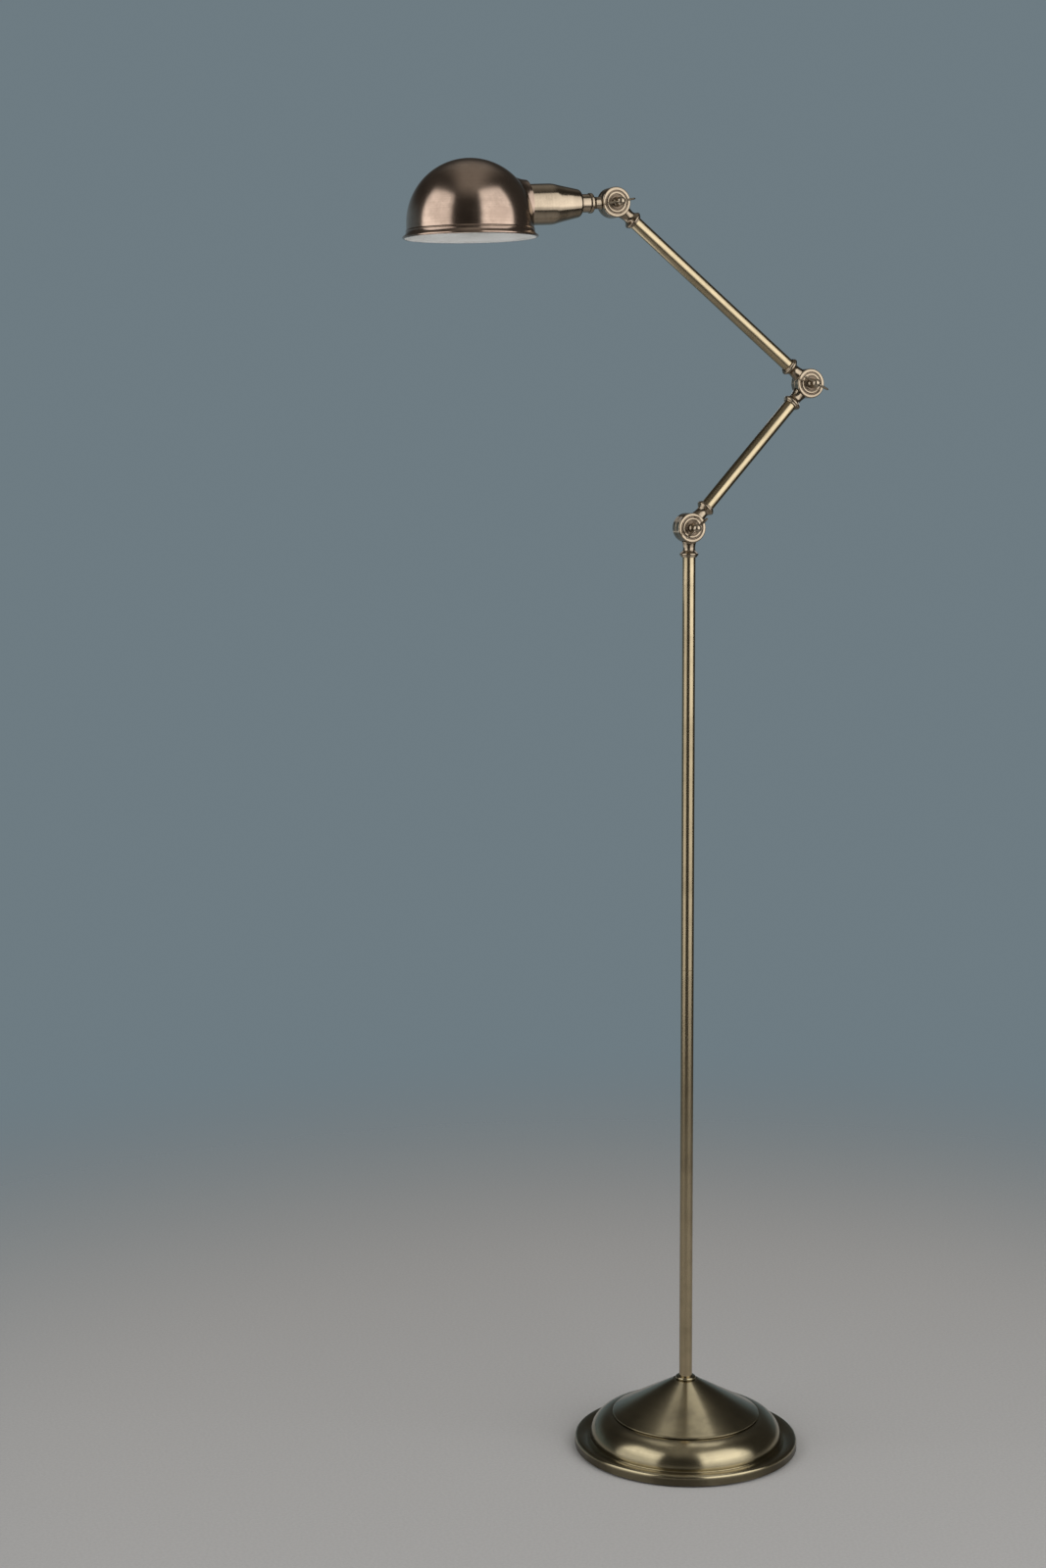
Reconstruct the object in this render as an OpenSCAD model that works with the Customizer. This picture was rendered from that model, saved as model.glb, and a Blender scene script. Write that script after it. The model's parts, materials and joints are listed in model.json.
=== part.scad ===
// Adjustable arm floor lamp: a round weighted base, a two-piece pole, two arms and a
// dome shade on three friction knuckles, each closed by a wing screw.
// Millimetres, +Z up, origin on the floor at the base's centre. The arms lie in the XZ
// plane, the shade towards -X, and the wing screws on the -Y side.

/* [Base] */
// Outer radius of the base's rim
base_r = 125; // [124:0.5:130]
// Height of the stepped dome above the floor
dome_top = 37; // [36.5:0.25:38]
// Height of the cone's top above the floor
cone_top = 76.7; // [74:0.5:80]
// Radius of the iron weight inside the base
weight_r = 98; // [90:1:100]

/* [Pole and arms] */
// Outer radius of the pole and of both arm tubes
tube_r = 7.25; // [7.15:0.05:7.4]
// Wall of the pole and of both arm tubes
tube_wall = 1.2; // [1.1:0.05:1.25]
// Height of the lowest knuckle's pivot
pivot_z = 1038.5; // [900:5:1100]
// Height of the joint between the two pole tubes
seam_z = 544; // [450:5:600]
// Pivot to pivot length of the lower arm
lower_arm = 217.3; // [180:5:260]
// Pivot to pivot length of the upper arm
upper_arm = 306.7; // [270:5:340]
// Lower arm's angle above horizontal, leaning towards +X
lower_angle = 47.7; // [40:1:60]
// Upper arm's angle from +X, leaning back over the pole
upper_angle = 141; // [135:1:150]

/* [Knuckles] */
// Radius of each half disc
knuckle_r = 16.5; // [16:0.1:16.6]
// Thickness of each half disc, from the middle plane
knuckle_h = 9; // [8.8:0.1:9.2]
// Turn of the wing screws on the lower, middle and head knuckles
wing_turns = [41, -26, 11]; // [-90:1:90]

/* [Head] */
// How far the lampholder's axis drops below horizontal, towards the shade
head_drop = 3.4; // [0:0.2:6]
// Angle between the rim plane of the shade and the lampholder's axis
shade_trim = 2.3; // [0:0.1:3]
// Distance from the head pivot to the middle of the shade
shade_reach = 168; // [167:0.25:169]
// Outer radius of the shade's dome
shade_r = 68.2; // [68:0.1:68.6]
// Height of the dome's centre above the rim plane
shade_wall_h = 16; // [15:0.25:17]
// Height of the lampholder's axis above the rim plane
shade_axis_h = 33.5; // [33:0.25:35]
// Thickness of the spun shade
shade_t = 1.2; // [1:0.1:1.3]
// Radius of the bulb's globe
globe_r = 22.5; // [20:0.25:23]

/* [Hidden] */
$fn = 96;
e = 0.01;
gap = 0.6;                 // from the middle plane to each half disc's inner face
tube_in = tube_r - tube_wall;
stem_u = 32.5;             // from a pivot to where its tube starts
seat_u = 103;              // from the head pivot to the seat on the shade
seat_r = 26.6;
cord_z = 6.1;              // height of the cord inlet
foot_z = 80.3;             // bottom of the pole tube
elbow_x = lower_arm * cos(lower_angle);
elbow_z = pivot_z + lower_arm * sin(lower_angle);
head_x = elbow_x + upper_arm * cos(upper_angle);
head_z = elbow_z + upper_arm * sin(upper_angle);

brass = [0.62, 0.53, 0.34];
bronze = [0.52, 0.41, 0.31];
steel = [0.70, 0.70, 0.70];
black = [0.06, 0.06, 0.06];

function arc(cx, cy, r, a0, a1, n) =
    [for (i = [0 : n]) [cx + r * cos(a0 + (a1 - a0) * i / n), cy + r * sin(a0 + (a1 - a0) * i / n)]];

// ---- frames ----
// at a pivot with local +X along an arm at this angle
module along(x, z, angle) { translate([x, 0, z]) rotate([0, -angle, 0]) children(); }
module at_lower(angle) { along(0, pivot_z, angle) children(); }
module at_elbow(angle) { along(elbow_x, elbow_z, angle) children(); }
module at_head(angle) { along(head_x, head_z, angle) children(); }
// in the head's frame: +Z up, the head runs towards local -X
module in_head() { translate([head_x, 0, head_z]) rotate([0, -head_drop, 0]) children(); }
// turned about the pivot axis: local z becomes the distance in front of the middle plane
module across() { rotate([90, 0, 0]) children(); }
// turned about local X, profile points are [radius, distance]
module turned(pts) { rotate([0, 90, 0]) rotate_extrude() polygon(pts); }
module turned_back(pts) { rotate([0, -90, 0]) rotate_extrude() polygon(pts); }
module turned_up(pts) { rotate_extrude() polygon(pts); }

// a tube along local +X with an open bore
module tube(from, to) {
    translate([from, 0, 0]) rotate([0, 90, 0]) difference() {
        cylinder(r = tube_r, h = to - from);
        translate([0, 0, -1]) cylinder(r = tube_in, h = to - from + 2);
    }
}

// ---- knuckle pieces, all about a pivot along Y ----
// the turned stem, bead and spigot of an arm or pole knuckle
stem_pts = concat([[0, 16.99], [7.8, 16.99], [7.4, 18.2], [7.0, 19.8], [6.75, 21.4], [6.7, 22.6],
    [6.9, 24], [7.5, 25.4], [8.5, 26.5], [9.5, 27.2]], arc(8.5, 29.3, 2, -62, 45, 6),
    [[9.3, 30.8], [9.0, 31], [9.0, 32], [8.6, stem_u], [tube_in - 0.05, stem_u],
    [tube_in - 0.05, 44], [0, 44]]);
// the plainer neck of the head knuckle, with the bead that closes it
neck_pts = [[0, 16.99], [6.9, 16.99], [6.6, 18], [6.6, 21.6], [6.9, 22.8], [7.8, 24.2],
    [9.2, 25.3], [10.4, 25.9], [11, 26.7], [11, 28.9], [10.6, 29.6], [9.8, 30],
    [5.5, 30], [5.5, 46], [0, 46]];

module disc_half(pts, front) {
    side = front ? 1 : -1;
    difference() {
        union() {
            across() translate([0, 0, front ? gap : -knuckle_h])
                cylinder(r = knuckle_r, h = knuckle_h - gap);
            // the stem's root, cut back to this half's own side
            intersection() {
                translate([9, 0, 0]) rotate([0, 90, 0]) cylinder(r = pts[1][0], h = 8.1);
                translate([0, front ? -20 : gap, -20]) cube([40, 20 - gap, 40]);
            }
            turned(pts);
        }
        // bore for the wing screw
        across() translate([0, 0, -12]) cylinder(r = 3.3, h = 24);
        // wire way along the stem, and the ring that lets it pass around the screw
        translate([8, 0, 0]) rotate([0, 90, 0]) cylinder(r = 2.6, h = 40);
        across() translate([0, 0, side * (gap + 1.3) - 1.4]) difference() {
            cylinder(r = 11, h = 2.8);
            translate([0, 0, -1]) cylinder(r = 5.6, h = 4.8);
        }
        if (front) face_rings();
        else across() translate([0, 0, -knuckle_h - e])
            cylinder(r = 5.95, h = 4.4, $fn = 6);
    }
}

// the two grooves turned in a front disc's face
module face_rings() {
    across() for (g = [[12.9, 11.3, 0.9], [8.7, 7.7, 0.6]])
        translate([0, 0, knuckle_h - g[2]]) difference() {
            cylinder(r = g[0], h = 2);
            translate([0, 0, -1]) cylinder(r = g[1], h = 4);
        }
    // small chamfer on the outer edge
    across() rotate_extrude() polygon([[knuckle_r - 0.7, knuckle_h + e],
        [knuckle_r + 1, knuckle_h + e], [knuckle_r + 1, knuckle_h - 0.7 - 1]]);
}

module friction_washer() {
    across() translate([0, 0, -gap]) difference() {
        cylinder(r = 16, h = gap + 0.3);
        translate([0, 0, -1]) cylinder(r = 12, h = 4);
    }
}

module face_washer() {
    across() translate([0, 0, knuckle_h]) difference() {
        cylinder(r = 7.5, h = 0.7);
        translate([0, 0, -1]) cylinder(r = 3.3, h = 3);
    }
}

module captive_nut() {
    across() translate([0, 0, -knuckle_h + 0.3]) difference() {
        cylinder(r = 5.8, h = 4, $fn = 6);
        translate([0, 0, -1]) cylinder(r = 3.06, h = 6);
    }
}

// hub, ball end, thin wings and shank in one casting
module wing_screw(turn) {
    rotate([0, -turn, 0]) across() {
        rotate_extrude() polygon(concat([[0, -knuckle_h + 0.4], [2.6, -knuckle_h + 0.4],
            [3, -knuckle_h + 0.8], [3, 10], [5.4, 10], [5.4, 11.2], [4.9, 12.2],
            [4.1, 14], [3.7, 15.6]], arc(0, 20, 4.5, -55, 90, 12)));
        for (s = [0, 180]) rotate([0, 0, s]) rotate([90, 0, 0])
            translate([0, 0, -0.8]) linear_extrude(1.6) union() {
                polygon([[2, 16.6], [2, 22.8], [6, 23], [14.4, 23.5], [14.4, 17.5], [8, 17.4]]);
                translate([14.4, 20.5]) circle(r = 3);
            }
    }
}

// ---- base ----
module base_pad() {
    color(black) cylinder(r = base_r - 3.5, h = 2.5);
}

module base_weight() {
    color([0.25, 0.25, 0.26]) difference() {
        turned_up(concat([[5.3, 12.6], [14, 12.6], [14, 2.5], [weight_r, 2.5]],
            arc(weight_r - 22, 8, 22, 0, 90, 16), [[24, 30], [24, dome_top - 1.2],
            [5.3, dome_top - 1.2]]));
        // way for the cord from the middle to the back
        translate([-4.5, 0, 1]) cube([9, 130, 9.2]);
    }
}

module base_washer() {
    color(steel) translate([0, 0, 11]) difference() {
        cylinder(r = 12, h = 1.6);
        translate([0, 0, -1]) cylinder(r = 5.3, h = 4);
    }
}

module base_nut() {
    color(steel) translate([0, 0, 6]) difference() {
        cylinder(r = 9.8, h = 5, $fn = 6);
        translate([0, 0, -1]) cylinder(r = 5.05, h = 8);
    }
}

module base_nipple() {
    color(steel) translate([0, 0, 4]) difference() {
        cylinder(r = 5, h = 92);
        translate([0, 0, -1]) cylinder(r = 3.4, h = 94);
    }
}

// spun cover: upright band, rolled shoulder, groove, quarter-round dome and flat top
module base_cover() {
    b = base_r;
    d = dome_top;
    color(brass) difference() {
        turned_up(concat([[b, 1.8], [b, 9.6]], arc(b - 3.4, 9.6, 3.4, 0, 80, 6),
            [[b - 6, 13], [b - 10, 12.6], [b - 13.5, 11.8], [b - 15.6, 11],
            [b - 16.4, 10.6], [b - 16.8, 10.8]], arc(b - 43, d - 26, 26, 2, 90, 18),
            [[5.3, d], [5.3, d - 1.2]], arc(b - 43, d - 26, 24.8, 90, 3, 18),
            [[b - 17.4, 10], [b - 16.8, 9.4], [b - 16, 9.5], [b - 13.5, 10.6],
            [b - 10, 11.4], [b - 6, 11.8]], arc(b - 3.4, 9.6, 2.2, 80, 0, 6),
            [[b - 1.2, 1.8]]));
        translate([0, b + 5, cord_z]) rotate([90, 0, 0]) cylinder(r = 3.6, h = 20);
    }
}

module cord_grommet() {
    b = base_r;
    color(black) difference() {
        union() {
            translate([0, b + 1, cord_z]) rotate([90, 0, 0]) cylinder(r = 3.55, h = 5);
            difference() {
                translate([0, b + 1.2, cord_z]) rotate([90, 0, 0]) cylinder(r = 4.3, h = 2.2);
                translate([0, 0, -1]) cylinder(r = b + 0.03, h = 20);
            }
            // inner flange, clear of the foam pad and of the band's rounded top
            intersection() {
                translate([0, b - 1, cord_z]) rotate([90, 0, 0]) cylinder(r = 4.3, h = 2.2);
                translate([0, 0, -1]) cylinder(r = b - 1.5, h = 20);
            }
        }
        translate([0, b + 3, cord_z]) rotate([90, 0, 0]) cylinder(r = 2.7, h = 10);
    }
}

// spun cone with a thin lip that stands just above the dome
module base_cone() {
    r = base_r - 43;
    d = dome_top;
    t = cone_top;
    color(brass) turned_up([[r - 4, d], [r - 2.6, d], [r - 2.2, d + 0.5], [r + 0.1, d + 0.5],
        [r + 0.4, d + 0.9], [r + 0.4, d + 1.9], [r, d + 2.4], [r - 1.6, d + 2.9], [14, t],
        [5.3, t], [5.3, t - 1.3], [13.4, t - 1.3], [r - 4, d + 1.6]]);
}

module cone_collar() {
    t = cone_top;
    color(brass) turned_up(concat([[5.1, t], [10.4, t]], arc(9.6, t + 1.7, 1.8, -65, 65, 8),
        [[9.2, t + 3.4], [9.2, foot_z], [5.1, foot_z]]));
}

// ---- pole ----
module pole_foot() {
    color(steel) translate([0, 0, foot_z]) difference() {
        cylinder(r = tube_in - 0.05, h = 22);
        translate([0, 0, -1]) cylinder(r = 5.05, h = 30);
    }
}

module pole_tube(from, to) {
    translate([0, 0, from]) difference() {
        cylinder(r = tube_r, h = to - from);
        translate([0, 0, -1]) cylinder(r = tube_in, h = to - from + 2);
    }
}

module lower_pole() { color(brass) pole_tube(foot_z, seam_z - 0.25); }
module upper_pole() { color(brass) pole_tube(seam_z + 0.25, pivot_z - stem_u); }

// inner sleeve with the thin ring that shows as the pole's seam
module pole_coupler() {
    color(brass) translate([0, 0, seam_z]) difference() {
        union() {
            translate([0, 0, -30]) cylinder(r = tube_in - 0.05, h = 60);
            translate([0, 0, -0.25]) cylinder(r = tube_r - 0.25, h = 0.5);
        }
        translate([0, 0, -40]) cylinder(r = 4.6, h = 80);
    }
}

// ---- lower knuckle: pole to lower arm ----
module pole_knuckle() { color(bronze) at_lower(-90) disc_half(stem_pts, false); }
module lower_washer() { color(steel) at_lower(0) friction_washer(); }
module lower_nut() { color(steel) at_lower(-90) captive_nut(); }
module lower_wing_screw() { color(bronze) at_lower(0) wing_screw(wing_turns[0]); }
module lower_arm_knuckle_a() { color(bronze) at_lower(lower_angle) disc_half(stem_pts, true); }
module lower_face_washer() { color(bronze) at_lower(0) face_washer(); }
module lower_arm_tube() { color(brass) at_lower(lower_angle) tube(stem_u, lower_arm - stem_u); }

// ---- elbow: lower arm to upper arm ----
module lower_arm_knuckle_b() {
    color(bronze) at_elbow(lower_angle + 180) disc_half(stem_pts, false);
}
module elbow_washer() { color(steel) at_elbow(0) friction_washer(); }
module elbow_nut() { color(steel) at_elbow(lower_angle + 180) captive_nut(); }
module elbow_wing_screw() { color(bronze) at_elbow(0) wing_screw(wing_turns[1]); }
module upper_arm_knuckle_a() { color(bronze) at_elbow(upper_angle) disc_half(stem_pts, true); }
module elbow_face_washer() { color(bronze) at_elbow(0) face_washer(); }
module upper_arm_tube() { color(brass) at_elbow(upper_angle) tube(stem_u, upper_arm - stem_u); }

// ---- head knuckle: upper arm to head ----
module upper_arm_knuckle_b() {
    color(bronze) at_head(upper_angle + 180) disc_half(stem_pts, true);
}
module head_face_washer() { color(bronze) at_head(0) face_washer(); }
module head_knuckle() { color(bronze) at_head(180 + head_drop) disc_half(neck_pts, false); }
module head_washer() { color(steel) at_head(0) friction_washer(); }
module head_nut() { color(steel) at_head(180 + head_drop) captive_nut(); }
module head_wing_screw() { color(bronze) at_head(0) wing_screw(wing_turns[2]); }

// ---- head ----
module head_collar() {
    color(bronze) in_head() turned_back([[5.55, 30], [9.6, 30], [9.95, 30.4], [9.95, 39.6],
        [9.6, 40.4], [5.55, 40.4]]);
}

// spun housing around the lampholder: rounded shoulder, cone and straight mouth
module socket_housing() {
    color(bronze) in_head() turned_back([[5.6, 40.4], [12.2, 40.4], [13.8, 40.9], [14.9, 42],
        [15.5, 43.8], [17.4, 53], [19.2, 61], [20.9, 68], [21.8, 72], [22.1, 74.5], [22.1, 92],
        [21.8, seat_u], [20.6, seat_u], [20.9, 92], [20.9, 74.6], [20.6, 72.2], [19.7, 68.2],
        [18, 61.2], [16.2, 53.2], [14.3, 44.1], [13.9, 42.7], [13.1, 41.9], [12, 41.6],
        [5.6, 41.6]]);
}

module housing_nut() {
    color(steel) in_head() translate([-41.6, 0, 0]) rotate([0, -90, 0]) difference() {
        cylinder(r = 9.2, h = 3.4, $fn = 6);
        translate([0, 0, -1]) cylinder(r = 5.55, h = 6);
    }
}

// moulded holder: closed cup inside the housing and a threaded sleeve through the shade
module lampholder() {
    color([0.1, 0.1, 0.1]) in_head() turned_back([[0, 72], [15, 72], [18.4, 74],
        [18.4, seat_u], [16.8, seat_u], [16.8, 110], [14.3, 110], [14.3, 80], [4, 80], [4, 77],
        [0, 77]]);
}

module screw_shell() {
    color([0.8, 0.65, 0.35]) in_head() turned_back([[13.3, 84], [14.2, 84], [14.2, 107],
        [13.3, 107]]);
}

module centre_contact() {
    color([0.8, 0.65, 0.35]) in_head() turned_back([[0, 77.1], [3, 77.1], [3, 79], [1.8, 80.4],
        [1.8, 83.9], [0, 83.9]]);
}

module shade_ring() {
    color([0.85, 0.85, 0.82]) in_head() turned_back([[16.85, seat_u + 1.3], [21, seat_u + 1.3],
        [21, seat_u + 3.8], [20, seat_u + 4.8], [16.85, seat_u + 4.8]]);
}

// outer or inner dome surface; t is the distance inwards from the outer skin
module shade_dome(t) {
    r = shade_r - t;
    turned_up(t == 0
        ? concat([[0, 0], [70.6, 0]], arc(71.2, 1.3, 1.4, -90, 90, 10),
            [[70.6, 3.1], [69.7, 4.4], [69.1, 5.8], [68.8, 7.2], [69.2, 7.6], [69.2, 8.4],
            [68.6, 8.9], [r, 9.4]], arc(0, shade_wall_h, r, 0, 90, 28))
        : concat([[0, -1], [70.2, -1], [70.2, 1.9], [69.3, 3.2], [68.3, 4.6], [67.6, 6],
            [67.2, 7.6], [r, 9.4]], arc(0, shade_wall_h, r, 0, 90, 28)));
}

// the flared boss that carries the lampholder, as radius against distance from the head pivot
module shade_boss(t) {
    turned_back([[0, seat_u + t], [seat_r - t, seat_u + t], [seat_r + 0.5 - t, seat_u + 2.6],
        [seat_r + 1.5 - t, seat_u + 6], [seat_r + 3 - t, seat_u + 10],
        [seat_r + 4.8 - t, seat_u + 14], [seat_r + 6.9 - t, seat_u + 18],
        [seat_r + 9.2 - t, seat_u + 22], [seat_r + 7 - t, seat_u + 30], [0, seat_u + 30]]);
}

module shade_body(t) {
    difference() {
        union() {
            translate([-shade_reach, 0, -shade_axis_h]) rotate([0, shade_trim, 0]) shade_dome(t);
            shade_boss(t);
        }
        // the flat pressed into the dome for the holder
        translate([-seat_u - t, 0, 0]) rotate([0, 90, 0]) cylinder(r = seat_r + 0.6 + t, h = 30);
    }
}

module shade() {
    color(bronze) in_head() difference() {
        shade_body(0);
        shade_body(shade_t);
        translate([-seat_u - 5, 0, 0]) rotate([0, 90, 0]) cylinder(r = 17.1, h = 10);
    }
}

module bulb_globe() {
    c = 162 - globe_r;
    color([0.95, 0.94, 0.9, 0.6]) in_head() turned_back(concat([[12.1, 108], [12.9, 108],
        [12.9, 110], [13.6, 112.5]], [for (p = arc(0, 0, globe_r, -48, 90, 30)) [p[0], c + p[1]]],
        [for (p = arc(0, 0, globe_r - 0.8, 90, -48, 30)) [p[0], c + p[1]]],
        [[12.8, 112.9], [12.1, 110.2]]));
}

module bulb_cap() {
    color([0.75, 0.75, 0.75]) in_head() turned_back([[0, 84], [4, 84], [4, 85.2], [9, 88],
        [13, 90], [13, 107.9], [12.4, 107.9], [12.4, 90.4], [8.8, 88.7], [3.4, 86.2], [0, 86.2]]);
}

base_pad();
base_weight();
base_nut();
base_washer();
base_nipple();
base_cover();
cord_grommet();
base_cone();
cone_collar();
pole_foot();
lower_pole();
pole_coupler();
upper_pole();
pole_knuckle();
lower_washer();
lower_nut();
lower_wing_screw();
lower_arm_knuckle_a();
lower_face_washer();
lower_arm_tube();
lower_arm_knuckle_b();
elbow_washer();
elbow_nut();
elbow_wing_screw();
upper_arm_knuckle_a();
elbow_face_washer();
upper_arm_tube();
upper_arm_knuckle_b();
head_face_washer();
head_knuckle();
head_washer();
head_nut();
head_wing_screw();
head_collar();
socket_housing();
housing_nut();
lampholder();
screw_shell();
centre_contact();
shade_ring();
shade();
bulb_globe();
bulb_cap();
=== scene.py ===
# %% [markdown]
# # Adjustable arm floor lamp
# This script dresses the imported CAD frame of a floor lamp. The frame says where every part is and how
# it moves. Here each visible part gets a finer mesh, most of them turned on a lathe in code, and every
# part gets a finish made of nodes. All lengths are in metres, and +Z is up.

# %% Load the frame
import json
import math

import bpy
from mathutils import Matrix, Vector


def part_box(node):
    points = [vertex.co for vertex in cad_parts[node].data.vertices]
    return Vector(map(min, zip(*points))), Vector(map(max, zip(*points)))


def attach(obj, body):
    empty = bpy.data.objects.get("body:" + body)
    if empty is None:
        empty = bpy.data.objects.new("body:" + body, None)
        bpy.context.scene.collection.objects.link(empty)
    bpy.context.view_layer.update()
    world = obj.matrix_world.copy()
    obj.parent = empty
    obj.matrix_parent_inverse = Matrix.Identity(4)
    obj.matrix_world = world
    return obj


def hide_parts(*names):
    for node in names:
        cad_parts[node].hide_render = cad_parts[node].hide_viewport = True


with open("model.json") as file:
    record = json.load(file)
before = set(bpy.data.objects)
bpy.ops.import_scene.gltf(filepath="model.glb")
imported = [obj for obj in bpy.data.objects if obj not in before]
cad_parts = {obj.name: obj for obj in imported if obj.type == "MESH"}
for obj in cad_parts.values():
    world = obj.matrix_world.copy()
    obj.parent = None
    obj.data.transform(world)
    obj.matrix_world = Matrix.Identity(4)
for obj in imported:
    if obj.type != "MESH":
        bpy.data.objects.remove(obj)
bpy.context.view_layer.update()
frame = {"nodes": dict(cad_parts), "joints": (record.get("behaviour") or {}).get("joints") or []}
nodes = frame["nodes"]

# %% [markdown]
# The lamp is laid out by its three pivots. Each joint in the frame holds its pivot, and the direction
# from one pivot to the next is the line of the arm between them. The head has no pivot at its far end,
# so its line runs from the last pivot to the middle of the ring that clamps the shade.

# %% Pivots and directions
MM = 0.001
ROUND = 2 * math.pi


def middle(node):
    low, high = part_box(node)
    return (low + high) / 2


pivot = {j["name"]: Vector(j["pos_m"]) for j in frame["joints"]}
LOWER, ELBOW, HEAD = pivot["lower_tilt"], pivot["elbow"], pivot["head_tilt"]
UP = Vector((0, 0, 1))
DOWN = Vector((0, 0, -1))
lower_line = (ELBOW - LOWER).normalized()
upper_line = (HEAD - ELBOW).normalized()
head_line = middle("shade_ring") - HEAD
head_line.y = 0
head_line.normalize()
print("lower arm", round((ELBOW - LOWER).length, 4), "upper arm", round((HEAD - ELBOW).length, 4))

# %% [markdown]
# The camera comes first, so that every later step can be judged through it. It stands in front of the
# lamp and to its left at chest height and looks slightly down. A small vertical shift keeps the pole
# upright in the picture while both the base and the shade stay in view.

# %% Camera
CAMERA_AT = (-1.2244, -2.5874, 1.1145)
SENSOR = 36
LENS = 59.2
SHIFT_UP = -0.1
LOOK_TURN = math.radians(21.64)
LOOK_DOWN = math.radians(3.73)

look = Vector((
    math.sin(LOOK_TURN) * math.cos(LOOK_DOWN),
    math.cos(LOOK_TURN) * math.cos(LOOK_DOWN),
    -math.sin(LOOK_DOWN),
))
camera_data = bpy.data.cameras.new("camera")
camera_data.sensor_width = SENSOR
camera_data.lens = LENS
camera_data.shift_y = SHIFT_UP
camera = bpy.data.objects.new("camera", camera_data)
camera.location = CAMERA_AT
camera.rotation_euler = look.to_track_quat("-Z", "Y").to_euler()
bpy.context.scene.collection.objects.link(camera)
bpy.context.scene.camera = camera
print("camera lens", LENS)

# %% [markdown]
# Finishes are written as sums. A wrapped socket can be added, multiplied and mixed like a number, and
# each sign adds the Math node that does it. One method makes every other kind of node from its type,
# its settings and what goes into its sockets, so a finish reads from top to bottom like a recipe.

# %% A small language for shader nodes
class Value:
    """A socket that carries one number per point of the surface."""

    def __init__(self, finish, socket):
        self.finish, self.socket = finish, socket

    def _math(self, operation, *others):
        return self.finish.node("ShaderNodeMath", {"operation": operation}, self, *others)

    def __add__(self, other):
        return self._math("ADD", other)

    __radd__ = __add__

    def __mul__(self, other):
        return self._math("MULTIPLY", other)

    def __sub__(self, other):
        return self._math("SUBTRACT", other)

    def __rsub__(self, other):
        return self.finish.node("ShaderNodeMath", {"operation": "SUBTRACT"}, other, self)

    def __pow__(self, other):
        return self._math("POWER", other)

    def least(self, other):
        return self._math("MINIMUM", other)

    def most(self, other):
        return self._math("MAXIMUM", other)

    def step(self, low, high):
        """0 below low, 1 above high, and a smooth rise between them."""
        settings = {"interpolation_type": "SMOOTHSTEP"}
        return self.finish.node("ShaderNodeMapRange", settings, self, low, high, 0.0, 1.0)

    def band(self, low, high, soft):
        """1 between low and high, 0 outside, with soft edges."""
        return self.step(low - soft, low + soft) * (1 - self.step(high - soft, high + soft))


class Finish:
    """A material under construction, or the nodes of another owner: a light or the world."""

    def __init__(self, name, owner=None, coordinates="Object"):
        self.material = owner or bpy.data.materials.new(name)
        self.material.use_nodes = True
        self.tree = self.material.node_tree
        self.tree.nodes.clear()
        self.coordinates = self.node("ShaderNodeTexCoord", {}, out=coordinates)

    def _plug(self, socket, value):
        if isinstance(value, Value):
            self.tree.links.new(value.socket, socket)
        elif value is not None:
            socket.default_value = value

    def node(self, kind, settings, *values, out=0, **named):
        made = self.tree.nodes.new(kind)
        for key, setting in settings.items():
            setattr(made, key, setting)
        for socket, value in zip([s for s in made.inputs if s.enabled], values):
            self._plug(socket, value)
        for key, value in named.items():
            self._plug(made.inputs[key.replace("_", " ")], value)
        return Value(self, made.outputs[out]) if made.outputs else made

    def mix(self, factor, first, second):
        """A colour between two colours."""
        made = self.tree.nodes.new("ShaderNodeMix")
        made.data_type = "RGBA"
        colours = [s for s in made.inputs if s.type == "RGBA" and s.enabled]
        self._plug(made.inputs[0], factor)
        self._plug(colours[0], first)
        self._plug(colours[1], second)
        return Value(self, [s for s in made.outputs if s.type == "RGBA" and s.enabled][0])

    def placed(self, point, direction=UP):
        """Coordinates with their origin at point and their Z along direction."""
        turn = direction.to_track_quat("Z", "Y").to_euler()
        return self.node("ShaderNodeMapping", {"vector_type": "TEXTURE"}, self.coordinates,
                         tuple(point), tuple(turn))

    def split(self, vector):
        made = self.tree.nodes.new("ShaderNodeSeparateXYZ")
        self._plug(made.inputs[0], vector)
        return [Value(self, s) for s in made.outputs]

    def join(self, x, y, z):
        return self.node("ShaderNodeCombineXYZ", {}, x, y, z)

    def noise(self, vector, scale, detail=3.0, roughness=0.55):
        return self.node("ShaderNodeTexNoise", {}, Vector=vector, Scale=scale, Detail=detail,
                         Roughness=roughness)

    def specks(self, vector, scale, size):
        """1 in small round dots, one in each cell, 0 between them."""
        distance = self.node("ShaderNodeTexVoronoi", {}, Vector=vector, Scale=scale)
        return 1 - distance.step(size * 0.6, size)

    def bump(self, height, strength, distance):
        return self.node("ShaderNodeBump", {}, Height=height, Strength=strength, Distance=distance)

    def along(self, vector, direction):
        """How far a vector goes along a direction."""
        return self.node("ShaderNodeVectorMath", {"operation": "DOT_PRODUCT"}, vector,
                         tuple(direction), out="Value")

    def surface(self, **sockets):
        shader = self.tree.nodes.new("ShaderNodeBsdfPrincipled")
        for key, value in sockets.items():
            self._plug(shader.inputs[key.replace("_", " ")], value)
        output = self.tree.nodes.new("ShaderNodeOutputMaterial")
        self.tree.links.new(shader.outputs[0], output.inputs[0])
        return self.material


def rgb(red, green, blue):
    """A colour as a socket wants it, from three linear values."""
    return (red, green, blue, 1.0)


print("shader language ready")

# %% [markdown]
# Antiqued brass is brass plating that has been darkened with acid, rubbed back by hand and lacquered.
# Three things make it read as real: slow clouds where more or less brown was rubbed away, fine lines
# left by the rubbing, and tiny dark pits. The lines run round a turned part and along a tube, so the
# noise is stretched in the part's own coordinates: its distance from the axis and its height.

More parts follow.
